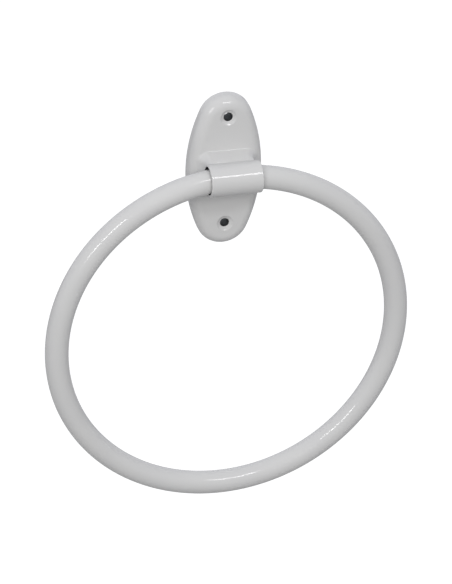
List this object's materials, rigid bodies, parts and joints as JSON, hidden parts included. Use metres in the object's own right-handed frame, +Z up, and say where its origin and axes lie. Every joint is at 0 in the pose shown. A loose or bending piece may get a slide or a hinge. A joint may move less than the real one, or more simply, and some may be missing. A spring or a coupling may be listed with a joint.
{
  "type": "towel ring",
  "caption": "Wall-mounted towel ring: an oval plate with screw holes and a short horizontal sleeve that carries a round ring, free to swing.",
  "frame": {"origin": "on the wall plane, midway between the two screw holes", "axes": "+Y into the wall, +Z up, +X along the sleeve"},
  "size_m": [0.2, 0.0311, 0.2324],
  "materials": {
    "bracket_lacquer": "gloss",
    "ring_lacquer": "gloss"
  },
  "bodies": {
    "bracket": {"wall_bracket": "bracket_lacquer"},
    "ring": {"ring": "ring_lacquer"}
  },
  "joints": [
    {"name": "ring_swing", "type": "hinge", "parent": "bracket", "child": "ring", "pos_m": [0, -0.0225, 0.0025], "axis": [-1, 0, 0], "range_deg": [-4.9, 184.9]}
  ]
}
